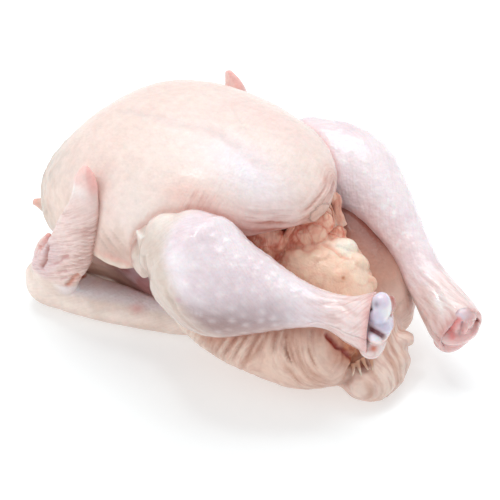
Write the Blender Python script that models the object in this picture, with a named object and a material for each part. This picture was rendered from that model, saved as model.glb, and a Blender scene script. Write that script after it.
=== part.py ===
"""A whole raw chicken, plucked and drawn, lying on its back with its legs and wings loose.

Every length is in millimetres and becomes metres where a mesh is made. +X runs from the neck to the tail,
+Y to the bird's left and +Z up through the breast. The stations below are in the bird's own frame, whose
origin is on the floor under the middle of the back. The finished solids are moved together at the end, so
that their box stands centred on the origin.
"""

import bmesh
import bpy
import numpy as np

MM = 0.001

# Each skin's grid, in millimetres, and how many times it is softened
SKIN_GRID, SKIN_SOFTENING = 1.9, 5
FAT_GRID, FAT_SOFTENING = 1.5, 2
HOCK_GRID, HOCK_SOFTENING = 1.0, 2
SOFTENING_STEP = 0.5

# Triangles left in each solid
SKIN_TRIANGLES = 9400
FAT_TRIANGLES = 900
HOCK_TRIANGLES = 700

PIECE_GAP = 0.35
BREAST_FULLNESS = 2.3
SIDES, STEPS = 28, 40
KNOB_SIDES, KNOB_RINGS = 24, 16
THINNEST = 0.4
FLOOR_WIDE, FLOOR_DEEP = 500, 100

# Each station of a form is a point on its spine and the form's half width and half height there.
# A sixth number is how far the section reaches below the spine, where that differs.
BREAST = (
    # x, y, z, half width, height above, depth below
    (-118, 0, 40, 8, 6, 8),
    (-114, 0, 42, 28, 20, 24),
    (-101, 0, 46, 45, 35, 32),
    (-82, 0, 51, 55, 47.5, 28),
    (-58, 0, 54, 62, 53.5, 25),
    (-30, 0, 56, 65, 52, 24),
    (-8, 0, 62, 60, 44, 22),
    (7, 1.5, 70, 50, 33, 14),
    (20, 3, 75.5, 38.5, 22.5, 7),
    (30, 4, 77, 26.5, 15, 5),
    (36.5, 4.5, 76.5, 15, 9, 3.5),
    (39.5, 5, 76, 6, 3.5, 2.5),
)
TRUNK = (
    (-100, 0, 24, 12, 10, 10),
    (-92, 0, 24, 34, 24, 24),
    (-60, 0, 26, 43, 30, 27.5),
    (-20, 0, 28, 40, 32, 29.5),
    (10, 0, 28, 39, 30, 29.5),
    (30, 0, 27, 38, 24, 28),
    (50, 0, 25, 35, 20, 26),
    (68, 0, 21, 30, 17, 22),
    (80, 0, 17, 20, 14, 16),
    (88, 0, 15, 8, 7, 7),
)
LEG_RIGHT = (
    (-5, -47, 66, 7, 8, 7),
    (0, -50, 66, 16, 18.5, 16),
    (11, -53.5, 65, 24, 29.5, 25),
    (26, -53, 62, 24.5, 26, 27),
    (45, -47, 60, 19.5, 18, 18),
    (63, -40, 59, 12, 11, 9),
    (78, -34, 59, 9, 8.5, 7.5),
    (88, -31, 58, 10.5, 12, 12),
    (95, -28, 58, 13, 15, 15.5),
)
LEG_LEFT = (
    (-22, 47.5, 63, 7, 8, 8),
    (-17, 50.5, 63, 17, 18, 18),
    (-1, 55, 63, 24.5, 25, 25),
    (18, 57, 61.5, 25.5, 26, 26),
    (39, 52.5, 55.5, 19.5, 20.5, 20),
    (61, 45, 47, 13, 13.5, 12),
    (80, 37, 39, 10.5, 11, 9),
    (96, 31, 32.5, 12, 13.5, 10.5),
    (105, 27.5, 29, 12.5, 15.5, 14),
    (110, 25.5, 27.5, 12, 15.5, 15),
)
THIGH_RIGHT = (
    (-6, -45, 55, 8, 10, 8),
    (0, -46, 51, 17, 18, 14),
    (10, -45, 43, 20, 24, 19),
    (25, -40, 35, 20.5, 29, 23),
    (42, -33, 29, 21, 28, 23.5),
    (62, -26, 23.5, 19.5, 23, 20.5),
    (76, -19, 18, 10, 12, 12),
)
FOREARM = (
    (-2, -32, 11, 6, 6),
    (-12, -34, 11, 9, 8.5),
    (-30, -41, 10.5, 10.5, 9),
    (-52, -49, 10.5, 11.5, 9.5),
    (-74, -56, 12, 11.5, 11),
    (-89, -60, 16, 10.5, 12.5),
    (-96, -60, 19, 5, 6),
)
UPPER_ARM = (
    (-84, -38, 48, 8, 8),
    (-76, -38, 45, 14, 14),
    (-54, -38, 34, 12, 13),
    (-30, -35, 22, 11, 12),
    (-10, -32, 16, 9, 10),
)
HAND_RIGHT = (
    # x, y, z, half thickness, half width
    (-87, -60, 12, 5, 9),
    (-79.5, -61, 21, 7.5, 13.5),
    (-65, -62, 36, 6.5, 11.5),
    (-57, -61, 54, 5.5, 9.5),
    (-54.5, -59, 72, 4.8, 7),
    (-55.5, -57.5, 84, 3.6, 5.2),
    (-56.5, -57, 91, 1.6, 2.8),
)
HAND_LEFT = (
    (-89, 58, 12, 5, 9),
    (-88, 59, 20, 7.5, 15),
    (-82, 60, 36, 6.5, 13.5),
    (-75, 60, 56, 5.5, 10.5),
    (-69, 60, 74, 4.2, 7),
    (-65, 60, 88, 3.0, 4.5),
    (-64, 60, 93.5, 1.4, 2.0),
)
THUMB = (
    (-88, -59, 20, 5.5, 5.5),
    (-86.5, -60, 30, 5, 5.5),
    (-83, -61, 39, 3.8, 4),
    (-79, -62, 47, 1.4, 1.4),
)
TAIL = (
    (58, 0, 24, 20, 16, 18),
    (72, -3, 17, 22, 13, 14),
    (84, -7, 12, 20.5, 10, 10.5),
    (92, -8.5, 8.5, 16.5, 7, 8),
    (96.5, -8.5, 6.5, 8.5, 3.5, 5),
)
TAIL_FLAP = (
    (72, 4, 18, 6, 5),
    (80, 8, 19, 8, 4),
    (86, 12, 20, 6, 3),
    (90, 15, 20, 3, 2),
)
NECK_SKIN = (
    (-102, -22, 30, 12, 12),
    (-111, -27, 31.5, 8, 7),
    (-117, -30.5, 33, 4.5, 4),
    (-122, -34, 35, 1.8, 1.8),
)
BELLY_FAT = (
    (20, 2, 44, 8, 8),
    (28, 3, 48, 20, 11),
    (41, 4, 49, 21.5, 12),
    (53, 2, 45.5, 18, 12.5),
    (63, -1, 38, 14, 12),
    (70, -2, 30, 7, 8),
)

# The knobs of a hock joint: how far out along the leg, across it and above it, and the three radii
HOCK_KNOBS = (
    (-12, 0, 0, 12, 6.5, 6.5),
    (1, 0, 8.5, 6.5, 9, 7.5),
    (2.5, 0, -1.5, 6.5, 11.5, 7),
    (0.5, 0, -10, 6, 8.5, 6.5),
)
LEFT_HOCK_SUNK = 5

SKIN_COLOUR = (0.87, 0.66, 0.57, 1)
FAT_COLOUR = (0.93, 0.72, 0.47, 1)
CARTILAGE_COLOUR = (0.78, 0.79, 0.88, 1)
WET_ROUGHNESS = 0.42


def material(name, colour):
    made = bpy.data.materials.new(name)
    made.use_nodes = True
    shader = made.node_tree.nodes["Principled BSDF"]
    shader.inputs["Base Color"].default_value = colour
    shader.inputs["Roughness"].default_value = WET_ROUGHNESS
    shader.inputs["Metallic"].default_value = 0
    return made


def object_of(name, mesh):
    """The bmesh as a new object, and the bmesh is freed."""
    data = bpy.data.meshes.new(name)
    mesh.to_mesh(data)
    mesh.free()
    made = bpy.data.objects.new(name, data)
    bpy.context.scene.collection.objects.link(made)
    return made


def smooth_between(stations, steps):
    """Rows of numbers read from a smooth curve through the stations, evenly spaced along the spine."""
    rows = np.array(stations, float)
    gaps = np.linalg.norm(np.diff(rows[:, :3], axis=0), axis=1)
    knots = np.concatenate([[0], np.cumsum(np.maximum(gaps, 1.0))])
    slopes = np.gradient(rows, knots, axis=0)
    wanted = np.linspace(0, knots[-1], steps)
    index = np.clip(np.searchsorted(knots, wanted, side="right") - 1, 0, len(knots) - 2)
    span = (knots[index + 1] - knots[index])[:, None]
    t = (wanted - knots[index])[:, None] / span
    start, end = rows[index], rows[index + 1]
    out = (
        (2 * t**3 - 3 * t**2 + 1) * start
        + (t**3 - 2 * t**2 + t) * span * slopes[index]
        + (3 * t**2 - 2 * t**3) * end
        + (t**3 - t**2) * span * slopes[index + 1]
    )
    return np.concatenate([out[:, :3], np.maximum(out[:, 3:], THINNEST)], axis=1)


def loft(name, stations, upright=(0, 0, 1), fullness=2.0, facing=None):
    """A closed tube of oval sections, square to its smooth spine unless they all face one way.

    A fullness over 2 squares the ovals.
    """
    rows = smooth_between(stations, STEPS)
    spine = rows[:, :3]
    tangent = np.gradient(spine, axis=0)
    if facing:
        tangent[:] = facing
    tangent /= np.linalg.norm(tangent, axis=1)[:, None]
    side = np.cross(np.array(upright, float), tangent)
    side /= np.linalg.norm(side, axis=1)[:, None]
    up = np.cross(tangent, side)
    angle = np.linspace(0, 2 * np.pi, SIDES, endpoint=False)
    across = np.sign(np.cos(angle)) * np.abs(np.cos(angle)) ** (2 / fullness)
    rise = np.sign(np.sin(angle)) * np.abs(np.sin(angle)) ** (2 / fullness)
    mesh = bmesh.new()
    rings = []
    for i, row in enumerate(rows):
        below = row[5] if len(row) > 5 else row[4]
        height = np.where(rise > 0, row[4], below) * rise
        points = spine[i] + np.outer(across * row[3], side[i]) + np.outer(height, up[i])
        rings.append([mesh.verts.new(p * MM) for p in points])
    for low, high in zip(rings, rings[1:]):
        for k in range(SIDES):
            n = (k + 1) % SIDES
            mesh.faces.new((low[k], low[n], high[n], high[k]))
    mesh.faces.new(rings[0][::-1])
    mesh.faces.new(rings[-1])
    bmesh.ops.recalc_face_normals(mesh, faces=mesh.faces)
    return object_of(name, mesh)


def mirrored(stations):
    """The same form on the bird's other side."""
    return tuple((row[0], -row[1], *row[2:]) for row in stations)


def apply_modifiers(made):
    bpy.context.view_layer.update()
    graph = bpy.context.evaluated_depsgraph_get()
    data = bpy.data.meshes.new_from_object(made.evaluated_get(graph))
    made.modifiers.clear()
    made.data = data


def fused(name, pieces, grid, softening):
    """One closed skin round all the pieces, with the creases between them softened."""
    mesh = bmesh.new()
    for piece in pieces:
        mesh.from_mesh(piece.data)
        bpy.data.objects.remove(piece)
    made = object_of(name, mesh)
    remesh = made.modifiers.new("one skin", "REMESH")
    remesh.mode = "VOXEL"
    remesh.voxel_size = grid * MM
    smooth = made.modifiers.new("soft creases", "SMOOTH")
    smooth.factor = SOFTENING_STEP
    smooth.iterations = softening
    apply_modifiers(made)
    return made


def thin_out(made, triangles):
    """Fewer and larger triangles, with the small ones kept where the surface bends."""
    now = sum(len(face.vertices) - 2 for face in made.data.polygons)
    decimate = made.modifiers.new("thin out", "DECIMATE")
    decimate.ratio = triangles / now
    apply_modifiers(made)


def cut(made, cutter):
    """Takes the cutter's space out of the solid, and the cutter goes with it."""
    boolean = made.modifiers.new("cut", "BOOLEAN")
    boolean.operation = "DIFFERENCE"
    boolean.object = cutter
    boolean.solver = "EXACT"
    apply_modifiers(made)
    bpy.data.objects.remove(cutter)


def grown(name, source, by):
    """A copy of a piece with its surface moved outwards."""
    mesh = bmesh.new()
    mesh.from_mesh(source.data)
    mesh.normal_update()
    for vert in mesh.verts:
        vert.co += vert.normal * vert.calc_shell_factor() * by * MM
    return object_of(name, mesh)


def floor_block():
    mesh = bmesh.new()
    bmesh.ops.create_cube(mesh, size=1)
    bmesh.ops.translate(mesh, verts=mesh.verts, vec=(0, 0, -0.5))
    bmesh.ops.scale(mesh, verts=mesh.verts, vec=(FLOOR_WIDE * MM, FLOOR_WIDE * MM, FLOOR_DEEP * MM))
    return object_of("floor_block", mesh)


def make_chicken():
    """Trunk, breast, legs, wings, tail and neck skin under one skin."""
    forms = [
        loft("breast", BREAST, fullness=BREAST_FULLNESS, facing=(1, 0, 0)),
        loft("trunk", TRUNK, facing=(1, 0, 0)),
        loft("leg_right", LEG_RIGHT),
        loft("leg_left", LEG_LEFT),
        loft("thigh_right", THIGH_RIGHT),
        loft("thigh_left", mirrored(THIGH_RIGHT)),
        loft("forearm_right", FOREARM),
        loft("forearm_left", mirrored(FOREARM)),
        loft("upper_arm_right", UPPER_ARM),
        loft("upper_arm_left", mirrored(UPPER_ARM)),
        loft("hand_right", HAND_RIGHT, upright=(-1, 0, 0)),
        loft("hand_left", HAND_LEFT, upright=(-1, 0, 0)),
        loft("thumb_right", THUMB, upright=(-1, 0, 0)),
        loft("thumb_left", mirrored(THUMB), upright=(-1, 0, 0)),
        loft("tail", TAIL),
        loft("tail_flap", TAIL_FLAP),
        loft("neck_skin", NECK_SKIN),
    ]
    return fused("chicken", forms, SKIN_GRID, SKIN_SOFTENING)


def make_hock(name, leg, sunk=0):
    """The joint's cartilage knobs at the cut end of a leg, with a stub of bone going in."""
    end = np.array(leg[-1][:3], float)
    outward = end - np.array(leg[-2][:3], float)
    outward /= np.linalg.norm(outward)
    end -= outward * sunk
    across = np.cross((0, 0, 1), outward)
    across /= np.linalg.norm(across)
    upward = np.cross(outward, across)
    knobs = []
    for out, sideways, above, length, width, height in HOCK_KNOBS:
        mesh = bmesh.new()
        bmesh.ops.create_uvsphere(mesh, u_segments=KNOB_SIDES, v_segments=KNOB_RINGS, radius=1)
        centre = end + outward * out + across * sideways + upward * above
        for vert in mesh.verts:
            x, y, z = vert.co
            place = centre + outward * x * length + across * y * width + upward * z * height
            vert.co = place * MM
        knobs.append(object_of("knob", mesh))
    made = fused(name, knobs, HOCK_GRID, HOCK_SOFTENING)
    thin_out(made, HOCK_TRIANGLES)
    return made


def make_belly_fat():
    made = fused("belly_fat", [loft("fat", BELLY_FAT)], FAT_GRID, FAT_SOFTENING)
    thin_out(made, FAT_TRIANGLES)
    return made


def make_room(body, piece):
    """Cuts the body back from a piece that lies in it, leaving a narrow gap all round."""
    cut(body, grown("room", piece, PIECE_GAP))


for old in list(bpy.data.objects):
    bpy.data.objects.remove(old)

chicken = make_chicken()
thin_out(chicken, SKIN_TRIANGLES)
cut(chicken, floor_block())

belly_fat = make_belly_fat()
hock_right = make_hock("hock_joint_right", LEG_RIGHT)
hock_left = make_hock("hock_joint_left", LEG_LEFT, LEFT_HOCK_SUNK)
for piece in (belly_fat, hock_right, hock_left):
    make_room(chicken, piece)

nodes = {
    chicken: material("raw chicken skin", SKIN_COLOUR),
    belly_fat: material("chicken fat", FAT_COLOUR),
    hock_right: material("joint cartilage", CARTILAGE_COLOUR),
    hock_left: material("joint cartilage", CARTILAGE_COLOUR),
}
corners = np.array([vert.co for node in nodes for vert in node.data.vertices])
lowest, highest = corners.min(axis=0), corners.max(axis=0)
PLACED = (-(lowest[0] + highest[0]) / 2, -(lowest[1] + highest[1]) / 2, -lowest[2])
for node, finish in nodes.items():
    for vert in node.data.vertices:
        vert.co.x += PLACED[0]
        vert.co.y += PLACED[1]
        vert.co.z += PLACED[2]
    node.data.materials.clear()
    node.data.materials.append(finish)
    node.data.shade_smooth()
print("box", (highest - lowest) / MM, "moved by", np.array(PLACED) / MM)
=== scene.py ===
# %% [markdown]
# # A whole raw chicken
# A plucked and drawn bird lies on its back with its legs and wings loose. What makes it look real is skin:
# thin, moist and see-through, cream where fat lies under it and lilac where muscle does, with folds
# wherever two limbs meet. So the forms are lofted from a few named stations each, grown into one skin with
# a voxel remesh, shaped by hand-like pushes of the surface, and then painted point by point.

import math
from itertools import product

import bpy
import numpy as np
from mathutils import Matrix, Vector
from mathutils.bvhtree import BVHTree


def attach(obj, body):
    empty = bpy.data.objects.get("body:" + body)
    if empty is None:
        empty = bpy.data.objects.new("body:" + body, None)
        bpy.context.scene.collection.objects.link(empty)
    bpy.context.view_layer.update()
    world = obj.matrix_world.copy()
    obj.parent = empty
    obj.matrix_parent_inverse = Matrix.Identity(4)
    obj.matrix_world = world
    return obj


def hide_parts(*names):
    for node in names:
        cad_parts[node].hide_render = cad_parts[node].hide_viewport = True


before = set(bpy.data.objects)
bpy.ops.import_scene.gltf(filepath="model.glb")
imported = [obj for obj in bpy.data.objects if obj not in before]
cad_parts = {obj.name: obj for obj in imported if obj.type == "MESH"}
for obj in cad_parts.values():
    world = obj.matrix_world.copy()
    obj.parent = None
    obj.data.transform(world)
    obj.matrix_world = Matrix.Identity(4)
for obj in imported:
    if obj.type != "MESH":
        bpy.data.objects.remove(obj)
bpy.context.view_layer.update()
print("packed nodes:", sorted(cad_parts))

# %% [markdown]
# ## The bird's own frame
# Every length below is in millimetres in the bird's own frame: +X from the neck to the tail, +Y to its left
# side, +Z up through the breast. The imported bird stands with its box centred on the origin, so one small
# move takes a point from the bird's frame to the scene.

# %% Millimetres in the bird's frame, and metres in the scene
MM = 0.001
BIRD_ORIGIN = np.array((3.067, -1.853, 0.0))


def scene_of(points):
    return (np.asarray(points, float) + BIRD_ORIGIN) * MM


def bird_of(points):
    return np.asarray(points, float) / MM - BIRD_ORIGIN


print("bird's origin in the scene:", scene_of((0, 0, 0)).round(5))

# %% [markdown]
# ## The camera
# The photograph looks down on the near drumstick from the tail end. A long lens keeps the far leg almost as
# large as the near one. The place is worked out from an azimuth, an elevation and a distance, as on a
# turntable, because those three are easy to compare with the photograph.

# %% Camera
AZIMUTH = math.radians(40)
ELEVATION = math.radians(35)
CAMERA_DISTANCE = 750
CAMERA_TARGET = np.array((0.0, 0.0, 40.0))
TOWARDS_CAMERA = np.array(
    (
        math.sin(AZIMUTH) * math.cos(ELEVATION),
        -math.cos(AZIMUTH) * math.cos(ELEVATION),
        math.sin(ELEVATION),
    )
)

bpy.ops.object.camera_add(location=scene_of(CAMERA_TARGET + CAMERA_DISTANCE * TOWARDS_CAMERA))
camera = bpy.context.object
camera.name = "camera"
camera.data.sensor_width = 36
camera.data.lens = 108
camera.data.clip_start = 0.01
camera.rotation_euler = Vector(-TOWARDS_CAMERA).to_track_quat("-Z", "Y").to_euler()
bpy.context.scene.camera = camera
print("camera stands at", [round(v, 3) for v in camera.location])

# %% [markdown]
# ## One tube to start every limb
# A breast, a thigh and a wing are all closed tubes whose ovals change along a curved spine. One blank tube
# is modelled once, a circle extruded ring by ring, and each form starts from a copy of it.

# %% Blank tube
SIDES = 40
RINGS = 56


def deselect():
    if bpy.context.object and bpy.context.object.mode != "OBJECT":
        bpy.ops.object.mode_set(mode="OBJECT")
    bpy.ops.object.select_all(action="DESELECT")


deselect()
bpy.ops.mesh.primitive_circle_add(vertices=SIDES, radius=1, fill_type="NGON")
blank = bpy.context.object
blank.name = "blank_tube"
bpy.ops.object.mode_set(mode="EDIT")
for _ in range(RINGS - 1):
    bpy.ops.mesh.extrude_region_move(TRANSFORM_OT_translate={"value": (0, 0, 1)})
bpy.ops.object.mode_set(mode="OBJECT")


def points_of(piece, kind="co"):
    flat = np.empty(len(piece.data.vertices) * 3, np.float32)
    piece.data.vertices.foreach_get(kind, flat)
    return flat.reshape(-1, 3).astype(float)


def place_points(piece, points):
    piece.data.vertices.foreach_set("co", np.asarray(points, np.float32).ravel())
    piece.data.update()


def measured(piece):
    """A piece's points in millimetres in the bird's frame."""
    return bird_of(points_of(piece))


blank_points = points_of(blank)
ring_of = np.rint(blank_points[:, 2]).astype(int)
turn_of = np.arctan2(blank_points[:, 1], blank_points[:, 0])
print("blank tube:", len(blank_points), "points in", ring_of.max() + 1, "rings")

# %% [markdown]
# ## From stations to a limb
# A station is a point on the limb's spine with the limb's half width and half height there. A smooth curve
# through the stations gives every ring its place. A sixth number says how far the form reaches below its
# spine where that differs, and a fullness over 2 squares the ovals, as on a plump breast.

# %% Shape a tube from its stations
THINNEST = 0.3


def smooth_between(stations):
    """One row of numbers for each ring, on a smooth curve through the stations."""
    rows = np.array(stations, float)
    gaps = np.linalg.norm(np.diff(rows[:, :3], axis=0), axis=1)
    knots = np.concatenate([[0], np.cumsum(np.maximum(gaps, 1.0))])
    slopes = np.gradient(rows, knots, axis=0)
    wanted = np.linspace(0, knots[-1], RINGS)
    index = np.clip(np.searchsorted(knots, wanted, side="right") - 1, 0, len(knots) - 2)
    span = (knots[index + 1] - knots[index])[:, None]
    t = (wanted - knots[index])[:, None] / span
    out = (
        (2 * t**3 - 3 * t**2 + 1) * rows[index]
        + (t**3 - 2 * t**2 + t) * span * slopes[index]
        + (3 * t**2 - 2 * t**3) * rows[index + 1]
        + (t**3 - t**2) * span * slopes[index + 1]
    )
    return np.concatenate([out[:, :3], np.maximum(out[:, 3:], THINNEST)], axis=1)


def unit(vectors):
    """Each vector at a length of 1."""
    vectors = np.asarray(vectors, float)
    return vectors / np.linalg.norm(vectors, axis=-1, keepdims=True)


def directions(spine, upright=(0, 0, 1), facing=None):
    """Along the spine, aside and up, at every ring."""
    tangent = np.gradient(spine, axis=0)
    if facing:
        tangent[:] = facing
    tangent = unit(tangent)
    side = unit(np.cross(upright, tangent))
    return tangent, side, np.cross(tangent, side)


def limb(name, stations, upright=(0, 0, 1), fullness=2.0, facing=None):
    """A copy of the blank tube, laid round the stations' smooth spine."""
    rows = smooth_between(stations)
    spine = rows[:, :3]
    tangent, side, up = directions(spine, upright, facing)
    across = np.sign(np.cos(turn_of)) * np.abs(np.cos(turn_of)) ** (2 / fullness)
    rise = np.sign(np.sin(turn_of)) * np.abs(np.sin(turn_of)) ** (2 / fullness)
    below = rows[:, 5] if rows.shape[1] > 5 else rows[:, 4]
    height = np.where(rise > 0, rows[ring_of, 4], below[ring_of]) * rise
    width = rows[ring_of, 3] * across
    made = blank.copy()
    made.data = blank.data.copy()
    made.name = name
    bpy.context.scene.collection.objects.link(made)
    offset = width[:, None] * side[ring_of] + height[:, None] * up[ring_of]
    place_points(made, scene_of(spine[ring_of] + offset))
    deselect()
    made.select_set(True)
    bpy.context.view_layer.objects.active = made
    bpy.ops.object.mode_set(mode="EDIT")
    bpy.ops.mesh.select_all(action="SELECT")
    bpy.ops.mesh.normals_make_consistent(inside=False)
    bpy.ops.object.mode_set(mode="OBJECT")
    return made


def mirrored(stations):
    """The same form on the bird's other side."""
    return tuple((row[0], -row[1], *row[2:]) for row in stations)


def ball(name, centre, radii, along=(1, 0, 0)):
    """An oval lump: a sphere stretched to three radii, the first of them along a direction."""
    deselect()
    bpy.ops.mesh.primitive_uv_sphere_add(segments=28, ring_count=18, radius=1)
    made = bpy.context.object
    made.name = name
    first = unit(along)
    second = unit(np.cross((0, 0, 1), first))
    third = np.cross(first, second)
    q = points_of(made) * np.array(radii, float)
    place_points(made, scene_of(centre + q[:, :1] * first + q[:, 1:2] * second + q[:, 2:] * third))
    return made


def grow_together(name, pieces, grid, softening):
    """One closed skin round all the pieces, with the creases between them softened."""
    deselect()
    for piece in pieces:
        piece.select_set(True)
    bpy.context.view_layer.objects.active = pieces[0]
    if len(pieces) > 1:
        bpy.ops.object.join()
    made = bpy.context.object
    made.name = name
    made.data.name = name
    made.data.remesh_voxel_size = grid * MM
    bpy.ops.object.voxel_remesh()
    bpy.ops.object.modifier_add(type="SMOOTH")
    made.modifiers[-1].factor = 0.5
    made.modifiers[-1].iterations = softening
    bpy.ops.object.modifier_apply(modifier=made.modifiers[-1].name)
    made.data.shade_smooth()
    print(f"{name}: {len(made.data.polygons)} faces, about {grid} mm each")
    return made


print("each limb is laid over", RINGS, "rings of", SIDES, "points")

# %% [markdown]
# ## Brushes
# The surface is worked as a sculptor works clay. Each brush gives a number for every point of a piece: how
# near it is to a line drawn on the skin, whether it is inside a spot, how the noise of the skin swells
# there. Those numbers push points along their normals, and the same numbers mix the colours, so a fold's
# shade always lies in its own hollow.


# %% Brushes
def ramp(value, start, end):
    """0 before start, 1 after end, and smooth between."""
    t = np.clip((value - start) / (end - start), 0, 1)
    return t * t * (3 - 2 * t)


def near_to(gap, reach):
    """1 where the gap is 0, fading to 0 past the reach."""
    return np.exp(-((gap / reach) ** 2))


def line_distance(points, line):
    """How far each point is from a line of straight stretches, and how far along the line it lies, 0 to 1."""
    line = np.array(line, float)
    lengths = np.linalg.norm(np.diff(line, axis=0), axis=1)
    before = np.concatenate([[0], np.cumsum(lengths)])
    best = np.full(len(points), 1e9)
    along = np.zeros(len(points))
    for i, (start, end) in enumerate(zip(line, line[1:])):
        way = end - start
        t = np.clip(((points - start) @ way) / (way @ way), 0, 1)
        gap = np.linalg.norm(points - start - t[:, None] * way, axis=1)
        nearer = gap < best
        best = np.where(nearer, gap, best)
        along = np.where(nearer, (before[i] + t * lengths[i]) / before[-1], along)
    return best, along


def seen(points):
    """The points pressed flat along the line of sight, so that a mark lands on what the camera sees."""
    points = np.atleast_2d(np.array(points, float))
    return points - np.outer(points @ TOWARDS_CAMERA, TOWARDS_CAMERA)


def stroke(points, line, width):
    """1 on a line, fading to 0 over its width and towards its two ends."""
    gap, along = line_distance(points, line)
    ends = ramp(along, -0.001, 0.12) * ramp(along, 1.001, 0.88)
    return near_to(gap, width) * ends


def spot(points, centre, radii):
    """1 in the middle of an oval spot, fading to 0 past its radii."""
    gap = (points - np.array(centre, float)) / np.array(radii, float)
    return np.exp(-((gap**2).sum(axis=1)))


def lumps(points, size, seed=0):
    """Smooth random swellings from -1 to 1, about size apart."""
    q = points / size + seed * 17.31
    cell = np.floor(q)
    t = q - cell
    t = t * t * (3 - 2 * t)
    total = np.zeros(len(points))
    for corner in product((0, 1), repeat=3):
        key = np.sin((cell + corner) @ np.array((127.1, 311.7, 74.7))) * 43758.5453
        share = np.prod(np.where(np.array(corner) == 1, t, 1 - t), axis=1)
        total += share * (key - np.floor(key))
    return total * 2 - 1


def streaks_along(across, lengthwise, size, seed):
    """Noise drawn out into uneven lines: it changes quickly across them and slowly along them."""
    return lumps(np.stack([across, lengthwise * 0.12, lengthwise * 0], axis=1), size, seed)


print("a ramp from 0 to 1, in quarters:", ramp(np.linspace(0, 1, 5), 0, 1).round(2))

# %% [markdown]
# ## Tools that reach the mesh
# A brush only gives numbers. These tools read a piece's points and normals, measure its distance to another
# piece, push its surface out or in, and mix colours in linear light, where paint mixes as light does.


# %% Pushing and mixing
def normals_of(piece):
    return points_of(piece, "normal")


def push(piece, rise):
    """Moves each point along its normal by its rise in millimetres."""
    place_points(piece, points_of(piece) + normals_of(piece) * np.asarray(rise)[:, None] * MM)


def tree_of(piece):
    return BVHTree.FromObject(piece, bpy.context.evaluated_depsgraph_get())


def distance_to(points, tree, reach):
    """How far each point is from another piece's surface, in millimetres, no further than reach."""
    out = np.full(len(points), float(reach))
    for i, point in enumerate(scene_of(points)):
        hit = tree.find_nearest(Vector(point), reach * MM)
        if hit[3] is not None:
            out[i] = hit[3] / MM
    return out


def colour_of(code):
    """An sRGB hex code as linear red, green and blue."""
    value = np.array([int(code[i : i + 2], 16) for i in (1, 3, 5)]) / 255
    return np.where(value <= 0.04045, value / 12.92, ((value + 0.055) / 1.055) ** 2.4)


def mixed(colours, code, share):
    """The colours of all points, turned towards one colour by each point's share."""
    share = np.clip(np.asarray(share), 0, 1)[:, None]
    return colours * (1 - share) + colour_of(code) * share


print("a pale skin in linear light:", colour_of("#F7E6DF").round(3))

# %% [markdown]
# ## Breast, trunk and tail
# The plump breast overhangs the rest: it stands on the trunk like a loaf on a board, and its tail end makes
# the rim over the opened belly. Trunk, thighs and the folded upper wings grow into it under one skin.

# %% Stations of the body
BREAST = (
    # x, y, z, half width, height above, depth below
    (-118, 0, 40, 8, 6, 8),
    (-114, 0, 42, 28, 20, 24),
    (-101, 0, 46, 45, 35, 32),
    (-82, 0, 51, 55, 47.5, 28),
    (-58, 0, 54, 62, 53.5, 25),
    (-30, 0, 56, 65, 52, 24),
    (-8, 0, 62, 60, 44, 22),
    (7, 1.5, 70, 50, 33, 14),
    (20, 3, 75.5, 38.5, 22.5, 7),
    (30, 4, 77, 26.5, 15, 5),
    (36.5, 4.5, 76.5, 15, 9, 3.5),
    (39.5, 5, 76, 6, 3.5, 2.5),
)
TRUNK = (
    (-100, 0, 24, 12, 10, 10),
    (-92, 0, 24, 34, 24, 24),
    (-60, 0, 26, 43, 30, 27.5),
    (-20, 0, 28, 40, 32, 29.5),
    (10, 0, 28, 39, 30, 29.5),
    (30, 0, 27, 38, 24, 28),
    (50, 0, 25, 35, 20, 26),
    (68, 0, 21, 30, 17, 22),
    (80, 0, 17, 20, 14, 16),
    (88, 0, 15, 8, 7, 7),
)
THIGH = (
    # x, y, z, half width, height above, depth below
    (-6, -45, 55, 8, 10, 8),
    (0, -46, 51, 17, 18, 14),
    (10, -45, 43, 20, 24, 19),
    (25, -40, 35, 20.5, 29, 23),
    (42, -33, 29, 21, 28, 23.5),
    (62, -26, 23.5, 19.5, 23, 20.5),
    (76, -19, 18, 10, 12, 12),
)
UPPER_ARM = (
    (-84, -38, 48, 8, 8),
    (-76, -38, 45, 14, 14),
    (-54, -38, 34, 12, 13),
    (-30, -35, 22, 11, 12),
    (-10, -32, 16, 9, 10),
)
TAIL = (
    (58, 0, 24, 20, 16, 18),
    (72, -3, 17, 22, 13, 14),
    (84, -7, 12, 20.5, 10, 10.5),
    (92, -8.5, 8.5, 16.5, 7, 8),
    (96.5, -8.5, 6.5, 8.5, 3.5, 5),
)
TAIL_FLAP = (
    (72, 4, 18, 6, 5),
    (80, 8, 19, 8, 4),
    (86, 12, 20, 6, 3),
    (90, 15, 20, 3, 2),
)
NECK_SKIN = (
    (-102, -22, 30, 12, 12),
    (-111, -27, 31.5, 8, 7),
    (-117, -30.5, 33, 4.5, 4),
    (-122, -34, 35, 1.8, 1.8),
)
BODY_GRID = 1.15

body = grow_together(
    "body_skin",
    [
        limb("breast", BREAST, fullness=2.3, facing=(1, 0, 0)),
        limb("trunk", TRUNK, facing=(1, 0, 0)),
        limb("thigh_right", THIGH),
        limb("thigh_left", mirrored(THIGH)),
        limb("upper_arm_right", UPPER_ARM),
        limb("upper_arm_left", mirrored(UPPER_ARM)),
        limb("tail", TAIL),
        limb("tail_flap", TAIL_FLAP),
        limb("neck_skin", NECK_SKIN),
    ],
    BODY_GRID,
    6,
)

# %% [markdown]
# ## Drumsticks
# A drumstick is full at the knee and thin at the ankle, where the foot was cut off at the joint. The two
# legs lie differently: the near one points level at the camera, and the far one droops to the floor.

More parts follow.
